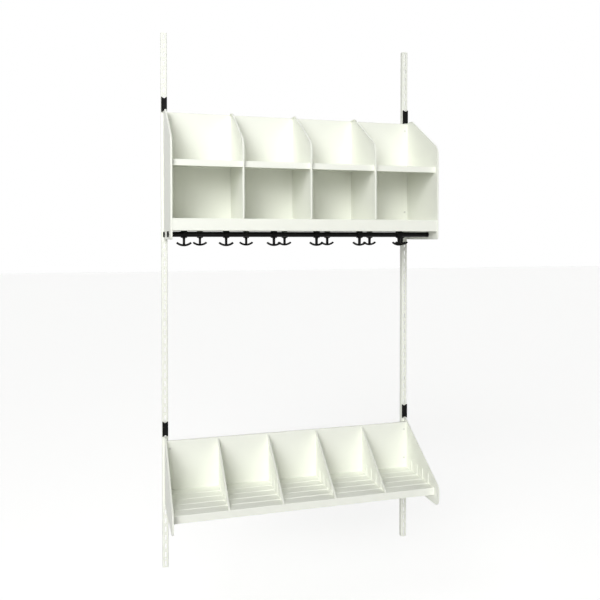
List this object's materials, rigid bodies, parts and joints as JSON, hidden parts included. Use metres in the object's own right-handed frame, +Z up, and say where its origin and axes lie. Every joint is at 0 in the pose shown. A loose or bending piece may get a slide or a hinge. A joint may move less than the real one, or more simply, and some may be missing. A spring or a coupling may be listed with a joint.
{
  "type": "childrens cloakroom unit",
  "caption": "Wall-hung cloakroom unit for small children: hat shelves with sliding anchor hooks below and a shoe rack, hung on two slotted uprights.",
  "frame": {"origin": "middle of the wall screw pattern, in the plane of the uprights' front faces, halfway up them", "axes": "+X along the wall to the right, +Y into the wall (the front faces -Y), +Z up"},
  "size_m": [0.987, 0.325, 1.984],
  "materials": {
    "white_steel": "satin powder coat",
    "black_tube": "satin powder coat",
    "black_plastic": "moulded",
    "screw_steel": "zinc plated"
  },
  "bodies": {
    "unit": {"front_hook_tube": "black_tube", "front_tube_plug_left": "black_plastic", "front_tube_plug_right": "black_plastic", "hat_back_panel": "white_steel", "hat_bottom_shelf": "white_steel", "hat_bracket_left": "white_steel", "hat_bracket_right": "white_steel", "hat_divider_1": "white_steel", "hat_divider_2": "white_steel", "hat_divider_3": "white_steel", "hat_middle_shelf": "white_steel", "hat_screws": "screw_steel", "hat_side_left": "white_steel", "hat_side_right": "white_steel", "hat_side_skin_left": "white_steel", "hat_side_skin_right": "white_steel", "rear_hook_tube": "black_tube", "rear_tube_plug_left": "black_plastic", "rear_tube_plug_right": "black_plastic", "shoe_back_panel": "white_steel", "shoe_bracket_left": "white_steel", "shoe_bracket_right": "white_steel", "shoe_divider_1": "white_steel", "shoe_divider_2": "white_steel", "shoe_divider_3": "white_steel", "shoe_divider_4": "white_steel", "shoe_floor": "white_steel", "shoe_screws": "screw_steel", "shoe_side_left": "white_steel", "shoe_side_right": "white_steel", "shoe_side_skin_left": "white_steel", "shoe_side_skin_right": "white_steel", "upright_left": "white_steel", "upright_right": "white_steel"},
    "hook_front_1": {"hook_front_1": "black_plastic"},
    "hook_front_2": {"hook_front_2": "black_plastic"},
    "hook_front_3": {"hook_front_3": "black_plastic"},
    "hook_front_4": {"hook_front_4": "black_plastic"},
    "hook_front_5": {"hook_front_5": "black_plastic"},
    "hook_front_6": {"hook_front_6": "black_plastic"},
    "hook_rear_1": {"hook_rear_1": "black_plastic"},
    "hook_rear_2": {"hook_rear_2": "black_plastic"},
    "hook_rear_3": {"hook_rear_3": "black_plastic"},
    "hook_rear_4": {"hook_rear_4": "black_plastic"},
    "hook_rear_5": {"hook_rear_5": "black_plastic"},
    "hook_rear_6": {"hook_rear_6": "black_plastic"},
    "lock_clip_hat_left": {"lock_clip_hat_left": "black_plastic"},
    "lock_clip_shoe_left": {"lock_clip_shoe_left": "black_plastic"},
    "lock_clip_hat_right": {"lock_clip_hat_right": "black_plastic"},
    "lock_clip_shoe_right": {"lock_clip_shoe_right": "black_plastic"}
  },
  "joints": [
    {"name": "hook_front_1_slide", "type": "slide", "parent": "unit", "child": "hook_front_1", "axis": [1, 0, 0], "range_m": [-0.0162, 0.0435]},
    {"name": "hook_front_2_slide", "type": "slide", "parent": "unit", "child": "hook_front_2", "axis": [1, 0, 0], "range_m": [-0.0435, 0.0561]},
    {"name": "hook_front_3_slide", "type": "slide", "parent": "unit", "child": "hook_front_3", "axis": [1, 0, 0], "range_m": [-0.0561, 0.0498]},
    {"name": "hook_front_4_slide", "type": "slide", "parent": "unit", "child": "hook_front_4", "axis": [1, 0, 0], "range_m": [-0.0498, 0.0534]},
    {"name": "hook_front_5_slide", "type": "slide", "parent": "unit", "child": "hook_front_5", "axis": [1, 0, 0], "range_m": [-0.0534, 0.0494]},
    {"name": "hook_front_6_slide", "type": "slide", "parent": "unit", "child": "hook_front_6", "axis": [1, 0, 0], "range_m": [-0.0494, 0.0901]},
    {"name": "hook_rear_1_slide", "type": "slide", "parent": "unit", "child": "hook_rear_1", "axis": [1, 0, 0], "range_m": [-0.0928, 0.0575]},
    {"name": "hook_rear_2_slide", "type": "slide", "parent": "unit", "child": "hook_rear_2", "axis": [1, 0, 0], "range_m": [-0.0575, 0.0453]},
    {"name": "hook_rear_3_slide", "type": "slide", "parent": "unit", "child": "hook_rear_3", "axis": [1, 0, 0], "range_m": [-0.0453, 0.0566]},
    {"name": "hook_rear_4_slide", "type": "slide", "parent": "unit", "child": "hook_rear_4", "axis": [1, 0, 0], "range_m": [-0.0566, 0.0588]},
    {"name": "hook_rear_5_slide", "type": "slide", "parent": "unit", "child": "hook_rear_5", "axis": [1, 0, 0], "range_m": [-0.0588, 0.0399]},
    {"name": "hook_rear_6_slide", "type": "slide", "parent": "unit", "child": "hook_rear_6", "axis": [1, 0, 0], "range_m": [-0.0399, 0.0018]},
    {"name": "lock_clip_hat_left_pull", "type": "slide", "parent": "unit", "child": "lock_clip_hat_left", "axis": [0, -1, 0], "range_m": [0, 0.0075]},
    {"name": "lock_clip_shoe_left_pull", "type": "slide", "parent": "unit", "child": "lock_clip_shoe_left", "axis": [0, -1, 0], "range_m": [0, 0.0075]},
    {"name": "lock_clip_hat_right_pull", "type": "slide", "parent": "unit", "child": "lock_clip_hat_right", "axis": [0, -1, 0], "range_m": [0, 0.0075]},
    {"name": "lock_clip_shoe_right_pull", "type": "slide", "parent": "unit", "child": "lock_clip_shoe_right", "axis": [0, -1, 0], "range_m": [0, 0.0075]}
  ]
}
